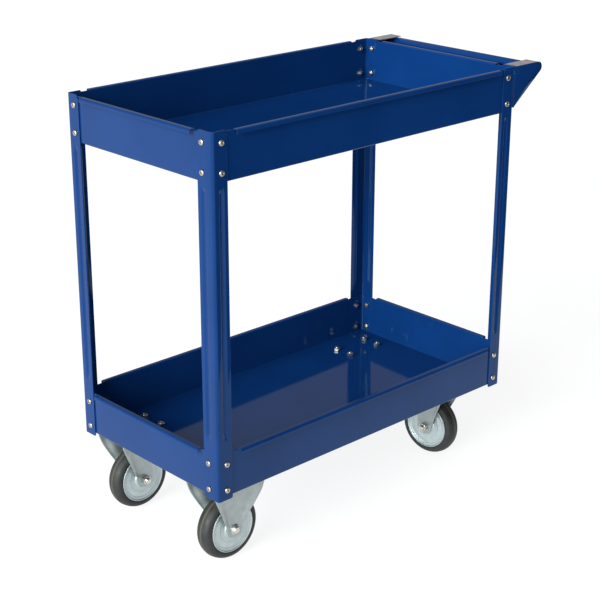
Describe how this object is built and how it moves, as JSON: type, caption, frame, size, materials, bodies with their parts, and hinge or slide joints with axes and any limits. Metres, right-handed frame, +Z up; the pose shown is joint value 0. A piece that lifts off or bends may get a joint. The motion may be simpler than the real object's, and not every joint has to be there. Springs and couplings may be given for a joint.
{
  "type": "two-tier service trolley",
  "caption": "Two-tier sheet-steel service trolley with deep trays, angle posts, a pressed push handle, two fixed and two swivel castors.",
  "frame": {"origin": "middle of the overall length and width, on the floor under the wheels", "axes": "+X along the trolley towards the handle, +Y across it to the right of someone pushing it, +Z up"},
  "size_m": [0.84, 0.4084, 0.8129],
  "materials": {
    "blue_enamel": "gloss",
    "zinc_steel": "satin zinc plate",
    "bright_steel": "bright plate",
    "black_rubber": "matt"
  },
  "bodies": {
    "frame": {"upper_tray": "blue_enamel", "lower_tray": "blue_enamel", "post_front_left": "blue_enamel", "post_front_right": "blue_enamel", "post_rear_left": "blue_enamel", "post_rear_right": "blue_enamel", "handle_wing_left": "blue_enamel", "handle_wing_right": "blue_enamel", "handle_rail": "blue_enamel", "fixed_bracket_left": "zinc_steel", "swivel_plate_left": "zinc_steel", "swivel_race_left": "zinc_steel", "fixed_axle_left": "bright_steel", "fixed_nut_left": "bright_steel", "fixed_bush_left": "bright_steel", "swivel_kingpin_left": "bright_steel", "fixed_bracket_right": "zinc_steel", "swivel_plate_right": "zinc_steel", "swivel_race_right": "zinc_steel", "fixed_axle_right": "bright_steel", "fixed_nut_right": "bright_steel", "fixed_bush_right": "bright_steel", "swivel_kingpin_right": "bright_steel", "castor_bolt_front_left_1": "bright_steel", "castor_bolt_front_left_2": "bright_steel", "castor_bolt_front_left_3": "bright_steel", "castor_bolt_front_left_4": "bright_steel", "castor_bolt_front_right_1": "bright_steel", "castor_bolt_front_right_2": "bright_steel", "castor_bolt_front_right_3": "bright_steel", "castor_bolt_front_right_4": "bright_steel", "castor_bolt_rear_left_1": "bright_steel", "castor_bolt_rear_left_2": "bright_steel", "castor_bolt_rear_left_3": "bright_steel", "castor_bolt_rear_left_4": "bright_steel", "castor_bolt_rear_right_1": "bright_steel", "castor_bolt_rear_right_2": "bright_steel", "castor_bolt_rear_right_3": "bright_steel", "castor_bolt_rear_right_4": "bright_steel"},
    "front_left_wheel": {"fixed_disc_outer_left": "zinc_steel", "fixed_disc_inner_left": "zinc_steel", "fixed_tyre_left": "black_rubber"},
    "front_right_wheel": {"fixed_disc_outer_right": "zinc_steel", "fixed_disc_inner_right": "zinc_steel", "fixed_tyre_right": "black_rubber"},
    "rear_left_castor": {"swivel_fork_left": "zinc_steel", "swivel_axle_left": "bright_steel", "swivel_nut_left": "bright_steel", "swivel_bush_left": "bright_steel"},
    "rear_left_wheel": {"swivel_disc_head_left": "zinc_steel", "swivel_disc_nut_left": "zinc_steel", "swivel_tyre_left": "black_rubber"},
    "rear_right_castor": {"swivel_fork_right": "zinc_steel", "swivel_axle_right": "bright_steel", "swivel_nut_right": "bright_steel", "swivel_bush_right": "bright_steel"},
    "rear_right_wheel": {"swivel_disc_head_right": "zinc_steel", "swivel_disc_nut_right": "zinc_steel", "swivel_tyre_right": "black_rubber"}
  },
  "joints": [
    {"name": "front_left_spin", "type": "hinge", "parent": "frame", "child": "front_left_wheel", "pos_m": [-0.3413, -0.132, 0.0625], "axis": [0, 1, 0], "continuous": true},
    {"name": "front_right_spin", "type": "hinge", "parent": "frame", "child": "front_right_wheel", "pos_m": [-0.3413, 0.132, 0.0625], "axis": [0, 1, 0], "continuous": true},
    {"name": "rear_left_swivel", "type": "hinge", "parent": "frame", "child": "rear_left_castor", "pos_m": [0.2492, -0.1235, 0.15], "axis": [0, 0, 1], "continuous": true},
    {"name": "rear_left_spin", "type": "hinge", "parent": "rear_left_castor", "child": "rear_left_wheel", "pos_m": [0.24648, -0.09714, 0.0625], "axis": [-0.9947, -0.1028, 0], "continuous": true},
    {"name": "rear_right_swivel", "type": "hinge", "parent": "frame", "child": "rear_right_castor", "pos_m": [0.2492, 0.1235, 0.15], "axis": [0, 0, 1], "continuous": true},
    {"name": "rear_right_spin", "type": "hinge", "parent": "rear_right_castor", "child": "rear_right_wheel", "pos_m": [0.2243, 0.11444, 0.0625], "axis": [0.342, -0.9397, 0], "continuous": true}
  ]
}
